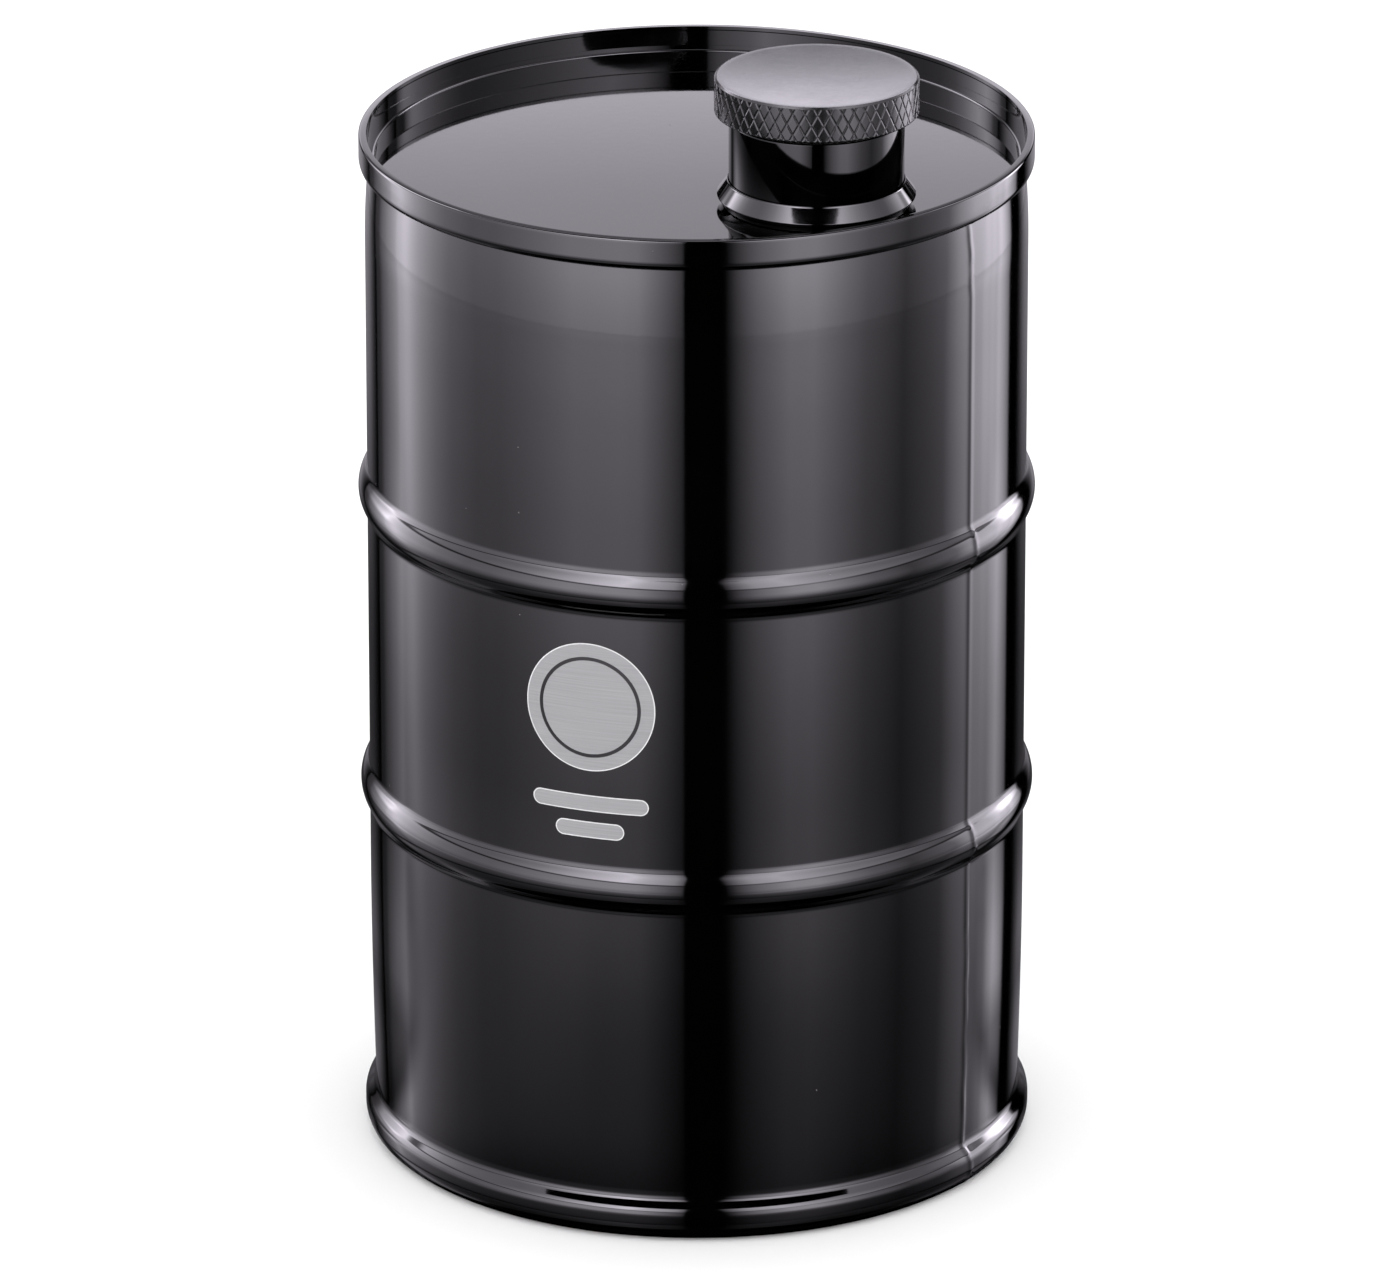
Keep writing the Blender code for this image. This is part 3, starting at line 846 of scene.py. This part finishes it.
# The back of the wall has a glow of its own, by height.
BACK_FROM = 143
BACK_SPAN = 14
BACK_HEIGHTS = (0.0, 0.14, 0.19, 0.27, 0.30, 0.31, 0.32, 0.345, 0.37, 0.6)
BACK_GLOWS = (0.5, 0.5, 1.4, 2.0, 2.2, 1.9, 1.38, 1.2, 0.45, 0.35)
TENT_RADIUS = 0.385
TENT_LEAN = 0.40
TENT_HEIGHT = 1.0
TENT_CURVE = 1.5
TENT_FOOT_DEPTH = 0.001
CEILING_DARK = (-115, 105)
CEILING_GLOW = 1.8
CEILING_RISE = 0.1
SKY_STRENGTH = 1.6
FLOOR_HALF = 4
TABLE_Z = -0.0004
TABLE_OVERLAP = 0.01
LIGHT_COLOUR = (1.035, 0.98, 1.09)

# How clearly the black table mirrors the tent, by the distance out from the can: in front of it,
# and beside it. The left side takes only a share of the second.
TABLE_FRONT = (
    (0.0, 0.62), (0.035, 0.72), (0.06, 0.86), (0.08, 1.1), (0.1, 1.5), (0.14, 1.65), (0.155, 1.9),
    (0.182, 2.4), (0.204, 2.9), (0.25, 3.15), (0.287, 3.9), (0.305, 4.6), (0.345, 5.6),
)
TABLE_SIDE = (
    (0.0, 4.2), (0.012, 5.0), (0.02, 4.6), (0.03, 2.6), (0.05, 2.4), (0.07, 2.2), (0.1, 2.0),
    (0.147, 2.05), (0.181, 2.6), (0.204, 3.0), (0.287, 3.9), (0.345, 5.6),
)
BESIDE_FROM = 92
BESIDE_SPAN = 20
LEFT_SHARE = 0.65
# The share of that in the table's picture of the tent's far sides, and how many degrees further
# round the tent lies than the place on the table where the can sees it.
TABLE_FAR = (
    (0.0, 0.3), (0.026, 0.3), (0.043, 0.58), (0.058, 0.55), (0.08, 0.38), (0.147, 0.42),
    (0.181, 0.55), (0.2, 0.68), (0.25, 1.0),
)
TABLE_AHEAD = ((0.02, 32), (0.05, 24), (0.1, 13), (0.15, 8), (0.25, 3))
# Near the can, a painted lift of the table's mirroring brightens the darker parts of its picture, to
# the left and the right: painted reflection on the can's lower wall.
LIFT_FROM = 25
LIFT_RISE_SPAN = 35
LIFT_UNTIL = 84
LIFT_FALL_SPAN = 22
LIFT_REACH = ((0.0, 1.0), (0.05, 1.0), (0.09, 0.5), (0.14, 0.15), (0.18, 0.0))
LIFT_LEFT = 1.3
LIFT_RIGHT = 0.75


def far_side(direction):
    """1 where the tent is far round to the side, beside the back, and 0 in front of that."""
    return float(smooth_step((abs(direction) - FAR_FROM) / FAR_SPAN))


def wall_glow(direction, rise):
    if abs(direction) > BACK_FROM:
        fade = float(smooth_step((abs(direction) - BACK_FROM) / BACK_SPAN))
        return fade * np.interp(rise, BACK_HEIGHTS, BACK_GLOWS)
    if FRONT_GAP[0] < direction < FRONT_GAP[1]:
        return 0
    directions, *zones = zip(*WALL_GLOW)
    low, middle, high = (np.interp(direction, directions, zone) for zone in zones)
    low *= np.interp(rise, FOOT_HEIGHTS, FOOT_SHARES)
    low *= 1 + far_side(direction) * (np.interp(rise, FAR_FOOT_HEIGHTS, FAR_FOOT_SHARES) - 1)
    return np.interp(rise, ZONE_HEIGHTS, (low, middle, middle, high))


def painted_reflection_lift(direction, out):
    """How many times clearer the table is for its painted lift of reflected light."""
    size = abs(direction)
    share = smooth_step((size - LIFT_FROM) / LIFT_RISE_SPAN)
    share *= 1 - smooth_step((size - LIFT_UNTIL) / LIFT_FALL_SPAN)
    amount = LIFT_RIGHT if direction > 0 else LIFT_LEFT
    return 1 + amount * float(share) * np.interp(out, *zip(*LIFT_REACH))


def for_reflections_only(obj):
    obj.visible_camera = False
    obj.visible_diffuse = False
    obj.visible_shadow = False
    obj.visible_transmission = False


def stage_mesh(name, profile, values, shader):
    """Turns a profile round Z, with one value for each of its points and directions, in degrees."""
    directions = np.arange(-180, 180, 1.0) + 0.25
    verts = []
    numbers = []
    for r, z in profile:
        for direction in directions:
            a = math.radians(direction)
            verts.append((r * math.sin(a), -r * math.cos(a), z))
            numbers.append(values(direction, r, z))
    faces = []
    count = len(directions)
    for i in range(len(profile) - 1):
        for j in range(count):
            k = (j + 1) % count
            faces.append((i * count + j, i * count + k, (i + 1) * count + k, (i + 1) * count + j))
    material = bpy.data.materials.new(name)
    material.use_nodes = True
    material.cycles.emission_sampling = "NONE"
    tree = material.node_tree
    tree.nodes.clear()
    level = tree.nodes.new("ShaderNodeAttribute")
    level.attribute_name = "level"
    output = tree.nodes.new("ShaderNodeOutputMaterial")
    tree.links.new(shader(tree, level.outputs["Fac"]), output.inputs["Surface"])
    obj = finish_mesh(name, verts, faces, material)
    attribute = obj.data.attributes.new("level", "FLOAT", "POINT")
    attribute.data.foreach_set("value", np.array(numbers, np.float32))
    for_reflections_only(obj)


def light_tent():
    """The pale tent that the gloss lacquer mirrors. Only reflections see it."""

    def glow(direction, r, z):
        if z >= TENT_HEIGHT:
            dark = CEILING_DARK[0] < direction < CEILING_DARK[1]
            return 0 if dark else CEILING_GLOW
        return wall_glow(direction, z)

    def shader(tree, level):
        emission = tree.nodes.new("ShaderNodeEmission")
        emission.inputs["Color"].default_value = (*LIGHT_COLOUR, 1)
        tree.links.new(level, emission.inputs["Strength"])
        return emission.outputs[0]

    shares = np.linspace(0, 0.999, 100)
    profile = [
        (TENT_RADIUS + TENT_LEAN * t, TENT_HEIGHT * t**TENT_CURVE - TENT_FOOT_DEPTH) for t in shares
    ]
    top = TENT_RADIUS + TENT_LEAN
    profile += [(top * t, TENT_HEIGHT + CEILING_RISE * (1 - t)) for t in (1, 0.6, 0.2, 0.002)]
    stage_mesh("light_tent", profile, glow, shader)


def black_table():
    """The black glass that the can stands on inside the tent, dull where the can shades it."""

    def clearness(direction, r, z):
        out = r - BODY_RADIUS
        beside = float(smooth_step((abs(direction) - BESIDE_FROM) / BESIDE_SPAN))
        beside *= 1 if direction > 0 else LEFT_SHARE
        front = np.interp(out, *zip(*TABLE_FRONT))
        side = np.interp(out, *zip(*TABLE_SIDE))
        ahead = abs(direction) + np.interp(out, *zip(*TABLE_AHEAD))
        far = 1 + far_side(ahead) * (np.interp(out, *zip(*TABLE_FAR)) - 1)
        return (front + (side - front) * beside) * painted_reflection_lift(direction, out) * far

    def shader(tree, level):
        fresnel = tree.nodes.new("ShaderNodeFresnel")
        fresnel.inputs["IOR"].default_value = 1.5
        share = tree.nodes.new("ShaderNodeMath")
        share.operation = "MULTIPLY"
        tree.links.new(fresnel.outputs[0], share.inputs[0])
        tree.links.new(level, share.inputs[1])
        black = tree.nodes.new("ShaderNodeBsdfDiffuse")
        black.inputs["Color"].default_value = (0, 0, 0, 1)
        gloss = tree.nodes.new("ShaderNodeBsdfGlossy")
        gloss.inputs["Roughness"].default_value = 0.06
        mix = tree.nodes.new("ShaderNodeMixShader")
        tree.links.new(share.outputs[0], mix.inputs[0])
        tree.links.new(black.outputs[0], mix.inputs[1])
        tree.links.new(gloss.outputs[0], mix.inputs[2])
        return mix.outputs[0]

    profile = [(r, TABLE_Z) for r in np.linspace(TENT_RADIUS + TABLE_OVERLAP, 0.002, 30)]
    stage_mesh("black_table", profile, clearness, shader)


def studio_floor():
    finish = Finish("pale_floor", (0.86, 0.86, 0.86), 0.9)
    finish.drive(
        "Base Color",
        finish.blend_colour(finish.noise(3, 2), (0.855, 0.855, 0.855), (0.865, 0.865, 0.865)),
    )
    corners = ((-1, -1), (1, -1), (1, 1), (-1, 1))
    verts = [(x * FLOOR_HALF, y * FLOOR_HALF, 0) for x, y in corners]
    floor = finish_mesh("floor", verts, [(0, 1, 2, 3)], finish.material)
    floor.visible_glossy = False


def studio_light():
    """An even white surround, which lights the floor and everything that isn't a mirror."""
    world = bpy.data.worlds.new("studio")
    bpy.context.scene.world = world
    world.use_nodes = True
    background = world.node_tree.nodes["Background"]
    background.inputs["Color"].default_value = (1, 1, 1, 1)
    background.inputs["Strength"].default_value = SKY_STRENGTH


def camera():
    data = bpy.data.cameras.new("camera")
    data.sensor_width = SENSOR_WIDTH
    data.lens = LENS
    obj = bpy.data.objects.new("camera", data)
    bpy.context.scene.collection.objects.link(obj)
    back = Vector((0, -math.cos(CAMERA_PITCH), math.sin(CAMERA_PITCH)))
    obj.location = CAMERA_TARGET + back * CAMERA_DISTANCE
    obj.rotation_euler = (math.pi / 2 - CAMERA_PITCH, 0, 0)
    bpy.context.scene.camera = obj


def put(piece, body, slot, *nodes):
    """Hangs a piece on its body and hides the solids that it stands for, if it has any."""
    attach(piece, body)
    if nodes:
        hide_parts(*nodes)


def main():
    gloss = lacquer("gloss_black_lacquer", 1.5)
    # The neck's copy of the gloss lacquer has a lower IOR, so it mirrors less: painted shade on the
    # neck under the cap.
    shaded_neck_gloss = lacquer("neck_lacquer_painted_shade", 1.32)
    coating = satin("satin_black_band", 0.006, 0.17, 1.43, 0.0)
    # The face's copy of the satin black is lighter and more metallic than the band's: painted light
    # on the cap's upward face.
    lit_face_coating = satin("satin_black_face_painted_light", 0.165, 0.19, 1.5, 0.75)
    plastic = moulded_plastic()
    rubber = silicone()
    steel = brushed_steel("turned_steel", (0.42, 0.42, 0.41), (0.68, 0.67, 0.66), 0.24, 5000)
    etched = brushed_steel("etched_steel", (0.19, 0.19, 0.195), (0.33, 0.33, 0.335), 0.6, 7000, 0.12)
    # A lighter steel for the border round each shape of the mark: a painted highlight along its
    # edges.
    painted_edge_highlight = brushed_steel("painted_edge_highlight", (0.6, 0.6, 0.6), (0.7, 0.7, 0.7), 0.5, 3600, 0.2)

    put(drum_shell(gloss), "root", "black_lacquer", "body_shell")
    put(drum_lid(gloss), "root", "black_lacquer", "lid_pan")
    put(drum_base(gloss), "root", "black_lacquer", "base_pan")
    for piece in etched_mark(etched, painted_edge_highlight, gloss):
        put(piece, "root", "stainless_steel")

    put(neck_sleeve(shaded_neck_gloss), "root", "black_lacquer", "neck_tube")
    put(neck_foot_ring(gloss), "root", "black_lacquer", "neck_collar")
    put(neck_bush(steel), "root", "stainless_steel", "thread_bush")
    put(pourer(plastic), "root", "black_plastic", "pourer_insert")
    seal_inner = (POURER_HIGH.x - POURER_LOW.x) / 2 + GAP
    seal = plain_ring("pourer_ring", SEAL_LOW, SEAL_HIGH, seal_inner, SEAL_EDGE, rubber)
    put(seal, "root", "clear_silicone", "pourer_seal")
    air = plain_ring("air_tube", AIR_LOW, AIR_HIGH, AIR_BORE, AIR_EDGE, steel, AIR_COLUMNS)
    put(air, "root", "stainless_steel", "breather_tube")

    washer_inner = PLUG_RADIUS + WASHER_PLAY
    washer = plain_ring("cap_washer", GASKET_LOW, GASKET_HIGH, washer_inner, SEAL_EDGE, rubber)
    put(washer, "seal_carriage", "clear_silicone", "cap_gasket")
    put(cap_handle(coating), "cap", "satin_black_metal", "cap_knob")
    put(cap_face(lit_face_coating), "cap", "satin_black_metal")
    put(cap_stopper(plastic), "cap", "black_plastic", "cap_plug")

    studio_floor()
    light_tent()
    black_table()
    studio_light()
    camera()
    bpy.context.scene.view_settings.view_transform = "Standard"


main()
